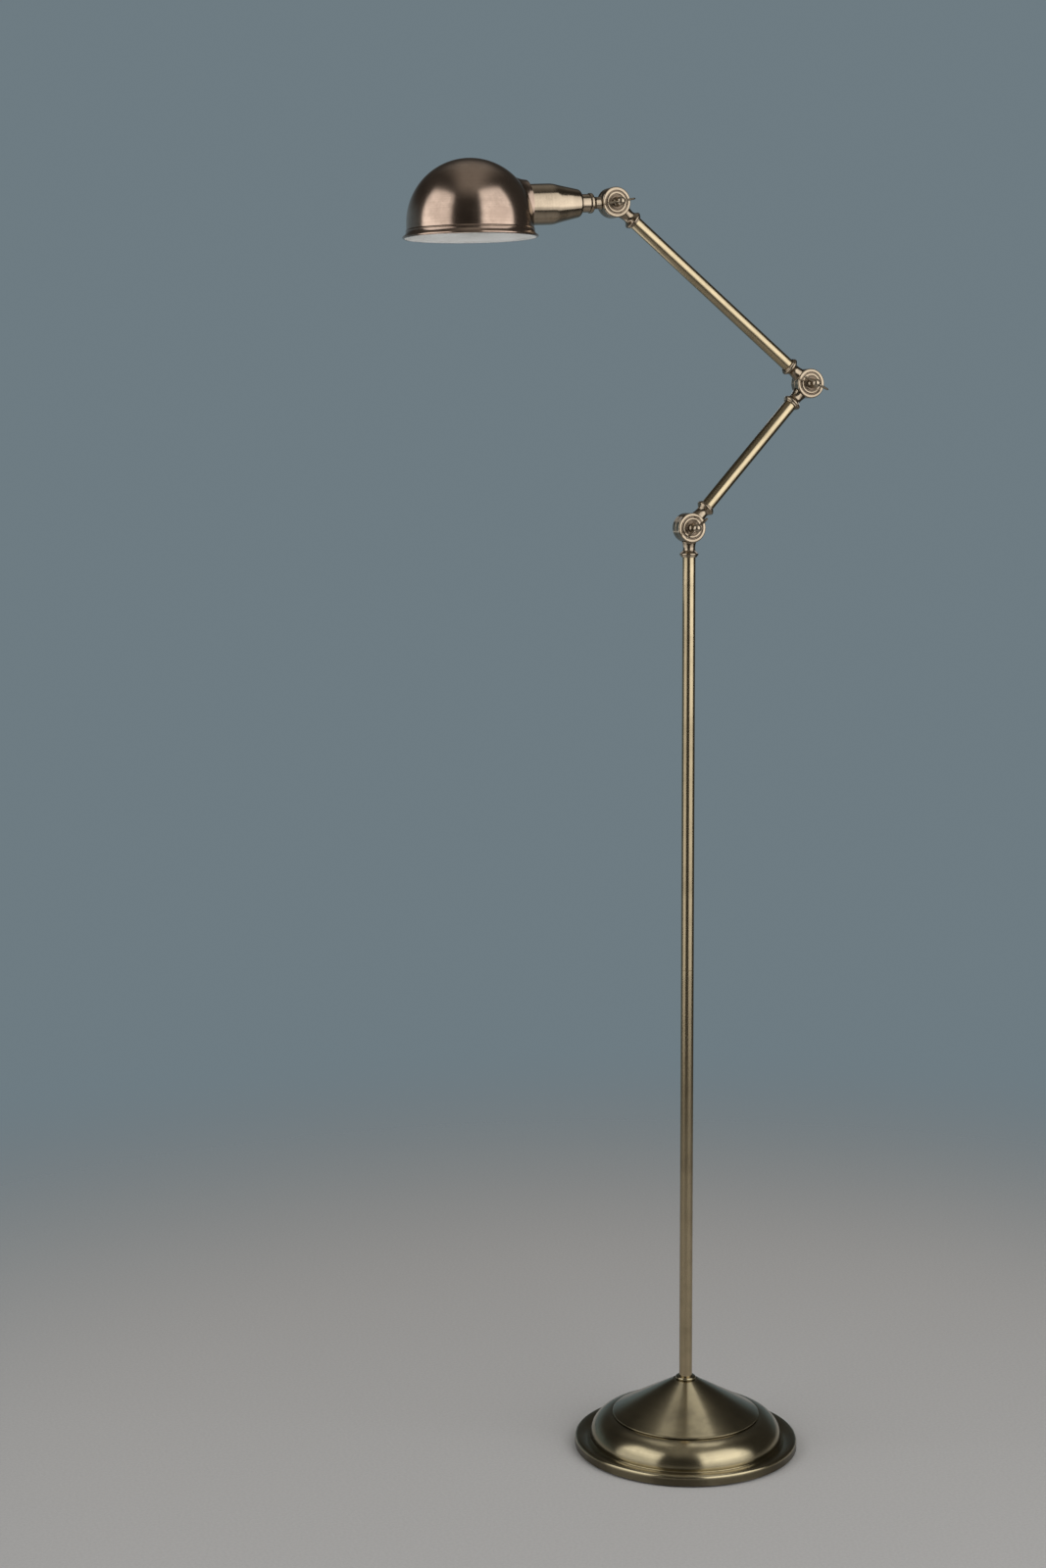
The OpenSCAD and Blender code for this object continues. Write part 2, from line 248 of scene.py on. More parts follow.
# %% Antiqued brass, for turned parts and for tubes
CLOUDS_PER_METRE = 26
STAINS_PER_METRE = 140
PITS_PER_METRE = 260
FINE_LINES = 2600
BROAD_LINES = 420
TUBE_FINE_LINES = 2200
TUBE_BROAD_LINES = 300


def antique_brass(name, light, dark, at=Vector(), line=UP, lines="round",
                  shine=0.2, clouds=0.4, darkening=None, pits=0.35, brushed=0.0):
    finish = Finish(name)
    here = finish.placed(at, line)
    x, y, z = finish.split(here)
    radius = (x * x + y * y) ** 0.5
    cloud = finish.noise(here, CLOUDS_PER_METRE, 4, 0.6)
    stain = finish.noise(here, STAINS_PER_METRE, 3, 0.6)
    if lines == "round":
        fine = finish.join(radius * FINE_LINES, z * FINE_LINES, 0)
        wide = finish.join(radius * BROAD_LINES, z * BROAD_LINES, 0)
    else:
        fine = finish.join(x * TUBE_FINE_LINES, y * TUBE_FINE_LINES, z * 25)
        wide = finish.join(x * TUBE_BROAD_LINES, y * TUBE_BROAD_LINES, z * 9)
    rubbed = finish.noise(fine, 1, 3, 0.6)
    broad = finish.noise(wide, 1, 2, 0.5)
    brown = cloud.step(0.38, 0.72) * clouds + stain.step(0.5, 0.8) * 0.22 * clouds
    brown = brown + (broad - 0.5) * 0.3 + (rubbed - 0.5) * 0.16
    pit = finish.specks(here, PITS_PER_METRE, 0.10) * stain.step(0.45, 0.6) * pits
    brown = brown + pit
    roughness = shine + (cloud - 0.5) * 0.08 + (rubbed - 0.5) * 0.08 + pit * 0.25
    # Extra darkening from the caller: the knuckles' darker grooves, and painted shade on the base's rim.
    if darkening is not None:
        hollow = darkening(radius, z)
        brown = brown + hollow
        roughness = roughness + hollow * 0.22
    colour = finish.mix(brown.most(0).least(1), rgb(*light), rgb(*dark))
    height = rubbed * 0.6 + stain * 0.4 - pit * 1.5
    return finish.surface(Base_Color=colour, Metallic=1.0, Roughness=roughness,
                          Normal=finish.bump(height, 0.08, 0.00002), Anisotropic=brushed,
                          Anisotropic_Rotation=0.25, Coat_Weight=0.15, Coat_Roughness=0.12)


OLIVE_LIGHT = (0.43, 0.350, 0.222)
OLIVE_DARK = (0.120, 0.092, 0.052)
BRONZE_LIGHT = (0.450, 0.340, 0.268)
BRONZE_DARK = (0.115, 0.074, 0.054)
CAST_LIGHT = (0.405, 0.330, 0.242)
CAST_DARK = (0.130, 0.097, 0.068)
KNUCKLE_LIGHT = (0.335, 0.272, 0.196)
SCREW_LIGHT = (0.400, 0.330, 0.245)
SCREW_DARK = (0.130, 0.100, 0.068)
print("antique brass ready")

# %% [markdown]
# Hidden hardware is zinc-plated steel, the weight is rough iron, and the insulating parts are moulded
# plastic or rubber. They are hardly seen, but they show from below and when the lamp is taken apart.

# %% Plain finishes for hardware, iron, rubber and plastic
def zinc():
    finish = Finish("zinc_plated_steel")
    grain = finish.noise(finish.coordinates, 900, 3)
    colour = finish.mix(grain.step(0.35, 0.7), rgb(0.50, 0.50, 0.49), rgb(0.62, 0.62, 0.60))
    return finish.surface(Base_Color=colour, Metallic=1.0, Roughness=0.32 + grain * 0.12,
                          Normal=finish.bump(grain, 0.1, 0.0001))


def cast_iron():
    finish = Finish("sand_cast_iron")
    grain = finish.noise(finish.coordinates, 500, 5, 0.65)
    lump = finish.noise(finish.coordinates, 60, 3)
    colour = finish.mix(lump.step(0.3, 0.7), rgb(0.035, 0.035, 0.038), rgb(0.075, 0.068, 0.062))
    return finish.surface(Base_Color=colour, Metallic=0.6, Roughness=0.62 + grain * 0.2,
                          Normal=finish.bump(grain * 0.7 + lump * 0.3, 0.6, 0.0006))


def rubber(name):
    finish = Finish(name)
    grain = finish.noise(finish.coordinates, 1400, 4, 0.7)
    dust = finish.noise(finish.coordinates, 40, 3)
    colour = finish.mix(dust.step(0.4, 0.8), rgb(0.012, 0.012, 0.012), rgb(0.032, 0.031, 0.029))
    return finish.surface(Base_Color=colour, Metallic=0.0, Roughness=0.72 + grain * 0.15,
                          Normal=finish.bump(grain, 0.4, 0.0003))


def moulded(name, tone, roughness):
    finish = Finish(name)
    grain = finish.noise(finish.coordinates, 1800, 3, 0.6)
    flow = finish.noise(finish.coordinates, 70, 2)
    darker = tuple(0.82 * channel for channel in tone)
    colour = finish.mix(flow.step(0.3, 0.75), rgb(*tone), rgb(*darker))
    return finish.surface(Base_Color=colour, Metallic=0.0, Roughness=roughness + grain * 0.1,
                          Normal=finish.bump(grain, 0.15, 0.0001))


def bright_brass():
    finish = Finish("bright_contact_brass")
    grain = finish.noise(finish.coordinates, 700, 3)
    colour = finish.mix(grain.step(0.3, 0.7), rgb(0.78, 0.60, 0.30), rgb(0.66, 0.49, 0.24))
    return finish.surface(Base_Color=colour, Metallic=1.0, Roughness=0.24 + grain * 0.12,
                          Normal=finish.bump(grain, 0.08, 0.0001))


ZINC = zinc()
IRON = cast_iron()
CONTACT = bright_brass()
BLACK_RUBBER = rubber("black_rubber")
PAD_FOAM = rubber("pad_foam")
HOLDER_BLACK = moulded("holder_black", (0.018, 0.018, 0.018), 0.35)
RING_WHITE = moulded("ring_white", (0.78, 0.77, 0.73), 0.38)
print("plain finishes ready")

# %% [markdown]
# White enamel lines the shade so that it throws the light down. It is stoved on, so it is slightly
# uneven, like orange peel, and glossy. The opal globe is white glass: light passes into it and
# scatters, which a little subsurface and a smooth coat imitate. The bulb's cap is plain aluminium.

# %% White enamel, opal glass and the cap
def enamel():
    finish = Finish("white_enamel")
    peel = finish.noise(finish.coordinates, 420, 2)
    cloud = finish.noise(finish.coordinates, 30, 3)
    colour = finish.mix(cloud.step(0.3, 0.8), rgb(0.90, 0.90, 0.88), rgb(0.84, 0.835, 0.81))
    return finish.surface(Base_Color=colour, Metallic=0.0, Roughness=0.30 + peel * 0.12,
                          Coat_Weight=0.3, Coat_Roughness=0.1,
                          Normal=finish.bump(peel, 0.12, 0.0004))


def opal_glass():
    finish = Finish("opal_glass")
    cloud = finish.noise(finish.coordinates, 60, 3)
    colour = finish.mix(cloud.step(0.3, 0.7), rgb(0.88, 0.87, 0.84), rgb(0.82, 0.81, 0.78))
    return finish.surface(Base_Color=colour, Metallic=0.0, Roughness=0.16 + cloud * 0.08,
                          Subsurface_Weight=0.25, Coat_Weight=0.4,
                          Normal=finish.bump(cloud, 0.03, 0.0002))


def cap_metal():
    finish = Finish("bulb_cap_aluminium")
    grain = finish.noise(finish.coordinates, 800, 3)
    colour = finish.mix(grain.step(0.3, 0.7), rgb(0.70, 0.70, 0.70), rgb(0.58, 0.58, 0.58))
    return finish.surface(Base_Color=colour, Metallic=1.0, Roughness=0.28 + grain * 0.14,
                          Normal=finish.bump(grain, 0.1, 0.0001))


ENAMEL = enamel()
OPAL = opal_glass()
CAP = cap_metal()
print("enamel and glass ready")

# %% [markdown]
# Parts that no one sees keep their CAD meshes and only get a finish. A CAD node already has material
# slots, so each slot is pointed at the new material.

# %% Finish the CAD nodes that stay
def dress(node, material):
    mesh = nodes[node].data
    if not mesh.materials:
        mesh.materials.append(material)
    for index in range(len(mesh.materials)):
        mesh.materials[index] = material


KEPT = {
    "base_weight": IRON, "base_nut": ZINC, "base_washer": ZINC, "base_nipple": ZINC,
    "pole_foot": ZINC, "lower_washer": ZINC, "elbow_washer": ZINC, "head_washer": ZINC,
    "lower_nut": ZINC, "elbow_nut": ZINC, "head_nut": ZINC, "housing_nut": ZINC,
    "screw_shell": CONTACT, "centre_contact": CONTACT, "cord_grommet": BLACK_RUBBER,
}
for node, material in KEPT.items():
    dress(node, material)
print("kept", len(KEPT), "CAD nodes")

# %% [markdown]
# Nearly every visible part is round about a line, as it would come off a lathe or a spinning chuck. So
# one helper does the lathe work: a plane is merged to a single vertex, the vertex is extruded along
# the outline, and the outline is spun through a full turn. Points are (radius, height) in millimetres.
# The spin's first and last rows are merged, and the normals are made to face outwards. A long straight
# stretch gets a holding point near each end, so that smooth shading bends only at the corners.

# %% The lathe
def deselect():
    if bpy.context.object and bpy.context.object.mode != "OBJECT":
        bpy.ops.object.mode_set(mode="OBJECT")
    bpy.ops.object.select_all(action="DESELECT")


def choose(piece):
    deselect()
    piece.select_set(True)
    bpy.context.view_layer.objects.active = piece


def held(outline, margin=0.35):
    """The outline with a holding point near each end of its long straight stretches."""
    points = [Vector(outline[0])]
    for start, end in zip(outline, outline[1:]):
        start, end = Vector(start), Vector(end)
        length = (end - start).length
        if length > 5 * margin:
            points += [start.lerp(end, margin / length), end.lerp(start, margin / length)]
        points.append(end)
    return points


def lathe(name, outline, steps=96, closed=True):
    """A turned solid about Z. A closed outline is a ring that doesn't touch the axis."""
    deselect()
    bpy.ops.mesh.primitive_plane_add(size=0.001)
    piece = bpy.context.object
    piece.name = name
    bpy.ops.object.mode_set(mode="EDIT")
    bpy.ops.mesh.select_all(action="SELECT")
    bpy.ops.mesh.merge(type="CENTER")
    points = [Vector((radius, 0, height)) * MM for radius, height in held(outline)]
    bpy.ops.transform.translate(value=points[0])
    for start, end in zip(points, points[1:]):
        bpy.ops.mesh.extrude_region_move(TRANSFORM_OT_translate={"value": end - start})
    bpy.ops.mesh.select_all(action="SELECT")
    if closed:
        bpy.ops.mesh.remove_doubles(threshold=1e-7)
        bpy.ops.mesh.select_all(action="SELECT")
    bpy.ops.mesh.spin(steps=steps, angle=ROUND, center=(0, 0, 0), axis=(0, 0, 1))
    bpy.ops.mesh.select_all(action="SELECT")
    bpy.ops.mesh.remove_doubles(threshold=2e-6)
    bpy.ops.mesh.select_all(action="SELECT")
    bpy.ops.mesh.delete_loose(use_verts=True, use_edges=True, use_faces=False)
    bpy.ops.mesh.select_all(action="SELECT")
    bpy.ops.mesh.normals_make_consistent(inside=False)
    bpy.ops.object.mode_set(mode="OBJECT")
    return piece


def ring(outline):
    """The same outline with its first point again at the end, for a ring with a hole through it."""
    return outline + [outline[0]]


def arc(centre, radius, start, end, count):
    """Points on an arc, angles in degrees from the +radius direction."""
    angles = [math.radians(start + (end - start) * i / count) for i in range(count + 1)]
    return [(centre[0] + radius * math.cos(a), centre[1] + radius * math.sin(a)) for a in angles]


def bake(piece):
    """Puts a piece's own place, turn and size into its mesh."""
    choose(piece)
    bpy.ops.object.transform_apply(location=True, rotation=True, scale=True)


def put(piece, point, line=UP):
    """Turns a piece's Z to a line, moves it to a point and bakes both into its mesh."""
    turn = line.to_track_quat("Z", "Y").to_matrix().to_4x4()
    piece.matrix_world = Matrix.Translation(point) @ turn
    bake(piece)
    return piece


def smooth(piece, angle=32):
    choose(piece)
    bpy.ops.object.shade_smooth_by_angle(angle=math.radians(angle))
    return piece


def finish_piece(piece, material, body, slot, *stands_for, angle=32):
    """Shades, paints and mounts a finished piece."""
    smooth(piece, angle)
    if not any(piece.data.materials):
        piece.data.materials.clear()
        piece.data.materials.append(material)
    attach(piece, body)
    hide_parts(*stands_for)
    print(piece.name, len(piece.data.polygons), "faces")
    return piece


print("lathe ready")

# %% [markdown]
# The base is three spun pieces on a heavy iron disc. The cover has an upright band, a rolled shoulder,
# a groove and a quarter-round dome. It is spun from sheet, so its outline is drawn twice, once for the
# outer skin and once for the inner. The hole for the cord is drilled with a Boolean modifier.

# %% Base cover
_, base_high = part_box("base_cover")
RIM = base_high.x / MM
DOME_TOP = base_high.z / MM
DOME_R = 26
DOME_OUT = RIM - 43
SHEET = 1.2
POLE_HOLE = 5.3
CORD_HOLE = 3.6

BASE_LIGHT = (0.375, 0.322, 0.205)
BASE_DARK = (0.105, 0.088, 0.055)


# Painted shade on the base's upright rim: a darker band that stands in for the dark floor it reflects.
RIM_PAINTED_SHADE = 0.85
RIM_SHADE_STARTS, RIM_SHADE_FULL = 121 * MM, 123 * MM
RIM_SHADE_THINS, RIM_SHADE_ENDS = 8 * MM, 11 * MM


def rim_painted_shade(radius, height):
    """Painted shade: the upright rim is painted darker, standing in for the dark floor that it reflects.
    """
    outside = radius.step(RIM_SHADE_STARTS, RIM_SHADE_FULL)
    return outside * (1 - height.step(RIM_SHADE_THINS, RIM_SHADE_ENDS)) * RIM_PAINTED_SHADE


BASE_BRASS = antique_brass("antique_brass_base", BASE_LIGHT, BASE_DARK, shine=0.22, brushed=0.75,
                           darkening=rim_painted_shade)


def apply_modifier(piece, kind, **settings):
    choose(piece)
    modifier = piece.modifiers.new(kind.lower(), kind)
    for key, setting in settings.items():
        setattr(modifier, key, setting)
    bpy.ops.object.modifier_apply(modifier=modifier.name)
    return piece


def cut(piece, tool, operation="DIFFERENCE"):
    """Takes tool away from piece, or joins the two into one solid, and deletes tool."""
    apply_modifier(piece, "BOOLEAN", operation=operation, solver="MANIFOLD", object=tool,
                   material_mode="INDEX")
    deselect()
    tool.select_set(True)
    bpy.ops.object.delete()
    return piece


def rod(radius, start, end, point, line):
    """A plain cylinder along a line, only ever used as a tool for cutting."""
    tool = lathe("tool", [(0, start), (radius, start), (radius, end), (0, end)], 64, closed=False)
    return put(tool, point, line)


outer_skin = (
    [(RIM - 0.3, 1.8), (RIM, 2.1), (RIM, 9.6)]
    + arc((RIM - 3.4, 9.6), 3.4, 6, 84, 12)
    + [(RIM - 6, 13.0), (RIM - 8, 12.85), (RIM - 10.5, 12.5), (RIM - 13, 11.9), (RIM - 15.2, 11.1)]
    + [(RIM - 16.2, 10.65), (RIM - 16.7, 10.7), (RIM - 17.05, 11.1)]
    + arc((DOME_OUT, DOME_TOP - DOME_R), DOME_R, 3, 90, 30)
    + [(70, DOME_TOP), (POLE_HOLE, DOME_TOP)]
)
inner_skin = (
    [(POLE_HOLE, DOME_TOP - SHEET), (70, DOME_TOP - SHEET)]
    + arc((DOME_OUT, DOME_TOP - DOME_R), DOME_R - SHEET, 90, 3, 30)
    + [(RIM - 17.5, 9.8), (RIM - 16.6, 9.4), (RIM - 15.6, 9.7), (RIM - 13.2, 10.7)]
    + [(RIM - 10.5, 11.3), (RIM - 8, 11.65), (RIM - 6, 11.8)]
    + arc((RIM - 3.4, 9.6), 2.2, 84, 0, 8)
    + [(RIM - SHEET, 2.1), (RIM - SHEET + 0.3, 1.8)]
)
cover = lathe("cover", ring(outer_skin + inner_skin), 160)
inlet = middle("cord_grommet")
cut(cover, rod(CORD_HOLE, -8, 8, inlet, Vector((0, 1, 0))))
finish_piece(cover, BASE_BRASS, "base", "antique_brass_base", "base_cover")

# %% [markdown]
# The cone stands on the dome on a thin lip that leaves a dark line beneath it. A small beaded collar
# closes its top where the pole comes out. Under everything lies a foam pad, whose edge stays just
# inside the rim.

# %% Cone, collar and pad
CONE_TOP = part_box("base_cone")[1].z / MM
POLE_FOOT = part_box("lower_pole")[0].z / MM

cone = lathe("cone", ring([
    (DOME_OUT - 4, DOME_TOP), (DOME_OUT - 2.6, DOME_TOP), (DOME_OUT - 2.2, DOME_TOP + 0.5),
    (DOME_OUT, DOME_TOP + 0.5), (DOME_OUT + 0.35, DOME_TOP + 0.75),
    (DOME_OUT + 0.4, DOME_TOP + 1.3), (DOME_OUT + 0.25, DOME_TOP + 1.9),
    (DOME_OUT - 0.3, DOME_TOP + 2.4), (DOME_OUT - 1.6, DOME_TOP + 2.95),
    (14.6, CONE_TOP - 0.4), (13.9, CONE_TOP), (POLE_HOLE, CONE_TOP), (POLE_HOLE, CONE_TOP - 1.3),
    (13.4, CONE_TOP - 1.3), (DOME_OUT - 4, DOME_TOP + 1.6),
]), 160)
finish_piece(cone, BASE_BRASS, "base", "antique_brass_base", "base_cone")

collar = lathe("cone_top_collar", ring(
    [(5.1, CONE_TOP), (10.4, CONE_TOP)] + arc((9.6, CONE_TOP + 1.7), 1.8, -65, 65, 12)
    + [(9.4, CONE_TOP + 3.35), (8.9, POLE_FOOT), (5.1, POLE_FOOT)]
), 96)
finish_piece(collar, BASE_BRASS, "base", "antique_brass_base", "cone_collar")

PAD_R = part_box("base_pad")[1].x / MM
pad = lathe("floor_pad", [(0, 0), (PAD_R - 0.6, 0), (PAD_R, 0.6), (PAD_R, 2.0), (PAD_R - 0.5, 2.5),
                          (0, 2.5)], 128, closed=False)
finish_piece(pad, PAD_FOAM, "base", "rubber_pad", "base_pad")

# %% [markdown]
# The pole is two lengths of brass tube that meet at a threaded sleeve, and each arm is one length. A
# cut tube has its edges eased with a file, so both ends get a small chamfer.

# %% Pole and arm tubes
TUBE_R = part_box("lower_pole")[1].x / MM
TUBE_IN = TUBE_R - 1.2
STEM = 32.5
EASE = 0.25


def tube(name, point, line, start, end, material, body, *stands_for):
    outline = [(TUBE_IN, start), (TUBE_R - EASE, start), (TUBE_R, start + EASE),
               (TUBE_R, end - EASE), (TUBE_R - EASE, end), (TUBE_IN, end)]
    piece = put(lathe(name, ring(outline), 96), point, line)
    return finish_piece(piece, material, body, "antique_brass_tube", *stands_for)


def tube_brass(name, point, line):
    return antique_brass(name, OLIVE_LIGHT, OLIVE_DARK, point, line, "long", shine=0.23, clouds=0.3,
                         pits=0.15)


POLE_BRASS = tube_brass("antique_brass_pole", Vector(), UP)
LOWER_BRASS = tube_brass("antique_brass_lower_arm", LOWER, lower_line)
UPPER_BRASS = tube_brass("antique_brass_upper_arm", ELBOW, upper_line)
SEAM = middle("pole_coupler").z / MM
POLE_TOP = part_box("upper_pole")[1].z / MM
tube("pole_lower", Vector(), UP, POLE_FOOT, SEAM - 0.25, POLE_BRASS, "base", "lower_pole")
tube("pole_upper", Vector(), UP, SEAM + 0.25, POLE_TOP, POLE_BRASS, "base", "upper_pole")
tube("arm_lower", LOWER, lower_line, STEM, (ELBOW - LOWER).length / MM - STEM, LOWER_BRASS,
     "lower_arm", "lower_arm_tube")
tube("arm_upper", ELBOW, upper_line, STEM, (HEAD - ELBOW).length / MM - STEM, UPPER_BRASS,
     "upper_arm", "upper_arm_tube")
dress("pole_coupler", POLE_BRASS)

# %% [markdown]
# Each joint is two half discs that face each other on a screw. The front one shows two turned rings.
# A disc and its stem are turned separately. The stem's root flares into the disc, so it is cut back
# with a cylinder where the other half disc has to pass, and then both are joined into one casting.

# %% Knuckle castings
FRONT = Vector((0, -1, 0))
DISC_R = 16.5
DISC_H = 9.0
MID_GAP = 0.6
PASS_R = 17.0
BORE = 3.3

ROOT = [(0, 10.5), (10.4, 10.5), (9.6, 12.2), (8.65, 13.7), (8.0, 15.1), (7.7, 16.5)]
STEM_OUTLINE = ROOT + [
    (7.35, 18.0), (7.0, 19.6), (6.8, 21.2), (6.7, 22.6), (6.85, 23.9), (7.35, 25.2), (8.2, 26.3),
    (9.2, 27.1),
] + arc((8.5, 29.3), 2.0, -56, 50, 10) + [
    (9.35, 30.9), (9.15, 31.15), (9.1, 31.9), (8.7, 32.4), (8.3, STEM), (6.0, STEM), (6.0, 44),
    (0, 44),
]
NECK_OUTLINE = [(0, 10.5), (9.8, 10.5), (9.0, 12.2), (8.0, 14), (7.3, 15.8), (6.8, 17.2), (6.6, 18.6),
                (6.6, 21.6), (6.8, 22.8), (7.4, 24), (8.4, 25), (9.7, 25.6), (10.6, 26.1),
                (11.0, 26.9), (11.0, 28.8), (10.6, 29.6), (9.9, 30), (5.5, 30), (5.5, 46), (0, 46)]
ROUNDED_EDGE = [
    (DISC_R - 0.25, 8.35), (DISC_R - 0.6, 8.75), (DISC_R - 1.1, 8.95), (DISC_R - 1.6, DISC_H),
]
FRONT_FACE = ROUNDED_EDGE + [
    (13.3, DISC_H), (12.95, 8.85), (12.8, 8.5), (12.7, 8.0), (11.5, 8.0), (11.4, 8.5), (11.2, 8.9),
    (10.7, 9.12), (10.0, 9.2), (9.3, 9.12), (8.85, 8.9), (8.7, 8.4), (7.7, 8.4), (7.6, 8.9),
    (7.3, DISC_H), (BORE, DISC_H),
]
BACK_FACE = ROUNDED_EDGE + [
    (7.2, DISC_H), (6.7, 8.8), (6.4, 8.5), (6.4, 4.6), (BORE, 4.6),
]


def knuckle(name, point, line, is_front, outline, material, body, *stands_for):
    face = FRONT if is_front else -FRONT
    edge = FRONT_FACE if is_front else BACK_FACE
    disc = lathe(name, ring([(BORE, MID_GAP), (DISC_R - 0.3, MID_GAP), (DISC_R, MID_GAP + 0.3),
                             (DISC_R, 7.7)] + edge), 96)
    put(disc, point, face)
    stem = put(lathe("stem", outline, 72, closed=False), point, line)
    cut(stem, rod(PASS_R, -20, MID_GAP, point, face))
    cut(stem, rod(PASS_R, DISC_H - 0.4, 20, point, face))
    cut(disc, stem, "UNION")
    return finish_piece(disc, material, body, "antique_brass_knuckle", *stands_for, angle=28)


def ring_grooves(radius, height):
    """Darker and rougher in the two grooves of a front disc."""
    outside = radius.band(11.3 * MM, 12.9 * MM, 0.25 * MM)
    inside = radius.band(7.5 * MM, 8.9 * MM, 0.2 * MM)
    front = height.step(7.4 * MM, 7.9 * MM)
    return (outside + inside) * front * 0.9


def knuckle_brass(name, point):
    return antique_brass(name, KNUCKLE_LIGHT, CAST_DARK, point, FRONT, darkening=ring_grooves)


LOWER_CAST = knuckle_brass("antique_brass_lower_knuckle", LOWER)
ELBOW_CAST = knuckle_brass("antique_brass_elbow_knuckle", ELBOW)
HEAD_CAST = knuckle_brass("antique_brass_head_knuckle", HEAD)
SCREW_BRASS = antique_brass("antique_brass_screw", SCREW_LIGHT, SCREW_DARK, shine=0.24)
# Painted shade: the face washers get a darker brass for the shadowed recess round each screw's hub.
WASHER_PAINTED_SHADE = antique_brass("painted_shade_washer", CAST_DARK, SCREW_DARK, shine=0.32)
knuckle("knuckle_pole", LOWER, DOWN, False, STEM_OUTLINE, LOWER_CAST, "base", "pole_knuckle")
knuckle("knuckle_lower_a", LOWER, lower_line, True, STEM_OUTLINE, LOWER_CAST, "lower_arm",
        "lower_arm_knuckle_a")
knuckle("knuckle_lower_b", ELBOW, -lower_line, False, STEM_OUTLINE, ELBOW_CAST, "lower_arm",
        "lower_arm_knuckle_b")
knuckle("knuckle_upper_a", ELBOW, upper_line, True, STEM_OUTLINE, ELBOW_CAST, "upper_arm",
        "upper_arm_knuckle_a")
knuckle("knuckle_upper_b", HEAD, -upper_line, True, STEM_OUTLINE, HEAD_CAST, "upper_arm",
        "upper_arm_knuckle_b")
knuckle("knuckle_head", HEAD, head_line, False, NECK_OUTLINE, HEAD_CAST, "head", "head_knuckle")

# %% [markdown]
# A wing screw is a small casting: a hub with a ball end, and two thin wings to turn it by. The hub and
# its shank are turned. One wing is grown from a small plane by extruding and scaling it step by step,
# then smoothed with a Subdivision Surface, and its copy is turned half way round.

# %% Wing screws and their washers
WING_MID = 20.3
WING_ROOT = 2.4
WING_THICK = 2.7
WING_TALL = 5.2
HUB_OUTLINE = [
    (0, -8.6), (2.6, -8.6), (3.0, -8.2), (3.0, 10.0), (5.3, 10.0), (5.5, 10.3), (5.4, 11.2), (5.0, 12.2),
    (4.5, 13.2), (4.1, 14.3), (3.9, 15.4), (3.9, 16.4),
] + arc((0, WING_MID), 4.9, -38, 90, 16)
WING_STEPS = [(3.4, 1.12, 0.95), (3.6, 1.15, 1.0), (3.6, 1.02, 1.0), (2.6, 0.82, 0.9), (1.3, 0.5, 0.7)]


def wing():
    """One thin wing, from inside the hub to its rounded tip, along +X."""
    deselect()
    bpy.ops.mesh.primitive_plane_add(size=1, rotation=(0, math.pi / 2, 0),
                                     location=(WING_ROOT * MM, 0, WING_MID * MM))
    blade = bpy.context.object
    bpy.ops.object.mode_set(mode="EDIT")
    bpy.ops.mesh.select_all(action="SELECT")
    bpy.ops.transform.resize(value=(1, WING_THICK * MM, WING_TALL * MM))
    for out, taller, thicker in WING_STEPS:
        bpy.ops.mesh.extrude_region_move(TRANSFORM_OT_translate={"value": (out * MM, 0, 0)})
        bpy.ops.transform.resize(value=(1, thicker, taller))
    bpy.ops.mesh.select_all(action="SELECT")
    bpy.ops.mesh.normals_make_consistent(inside=False)
    bpy.ops.object.mode_set(mode="OBJECT")
    bake(blade)
    return apply_modifier(blade, "SUBSURF", levels=2, render_levels=2)


def wing_screw(name, point, turn, material, body, *stands_for):
    hub = lathe(name, HUB_OUTLINE, 64, closed=False)
    for side in (0, math.pi):
        blade = wing()
        blade.rotation_euler = (0, 0, side)
        bake(blade)
        cut(hub, blade, "UNION")
    hub.rotation_euler = (0, 0, math.radians(turn))
    bake(hub)
    put(hub, point, FRONT)
    return finish_piece(hub, material, body, "antique_brass_knuckle", *stands_for, angle=40)


def face_washer(name, point, material, body, *stands_for):
    outline = [(BORE, DISC_H), (7.3, DISC_H), (7.5, 9.2), (7.5, 9.45), (7.25, 9.7), (BORE, 9.7)]
    piece = put(lathe(name, ring(outline), 72), point, FRONT)
    return finish_piece(piece, material, body, "antique_brass_knuckle", *stands_for)


wing_screw("screw_lower", LOWER, 41, SCREW_BRASS, "lower_screw", "lower_wing_screw")
wing_screw("screw_elbow", ELBOW, -26, SCREW_BRASS, "elbow_screw", "elbow_wing_screw")
wing_screw("screw_head", HEAD, 11, SCREW_BRASS, "head_screw", "head_wing_screw")
face_washer("washer_lower", LOWER, WASHER_PAINTED_SHADE, "lower_arm", "lower_face_washer")
face_washer("washer_elbow", ELBOW, WASHER_PAINTED_SHADE, "upper_arm", "elbow_face_washer")
face_washer("washer_head", HEAD, WASHER_PAINTED_SHADE, "upper_arm", "head_face_washer")

# %% [markdown]
# Behind the shade, a short collar and a spun housing hide the lampholder. The housing starts with a
# rounded shoulder, widens as a cone, and ends in an almost straight mouth against the shade.

# %% Collar and lampholder housing
SEAT = 103.0
HEAD_BRASS = antique_brass("antique_brass_housing", CAST_LIGHT, CAST_DARK, HEAD, head_line,
                           shine=0.14)

head_collar = lathe("collar_head", ring([
    (5.55, 30), (9.5, 30), (9.8, 30.15), (9.95, 30.5), (9.95, 39.6), (9.8, 40.1), (9.4, 40.4),
    (5.55, 40.4),
]), 96)
put(head_collar, HEAD, head_line)
finish_piece(head_collar, HEAD_BRASS, "head", "antique_brass_knuckle", "head_collar")

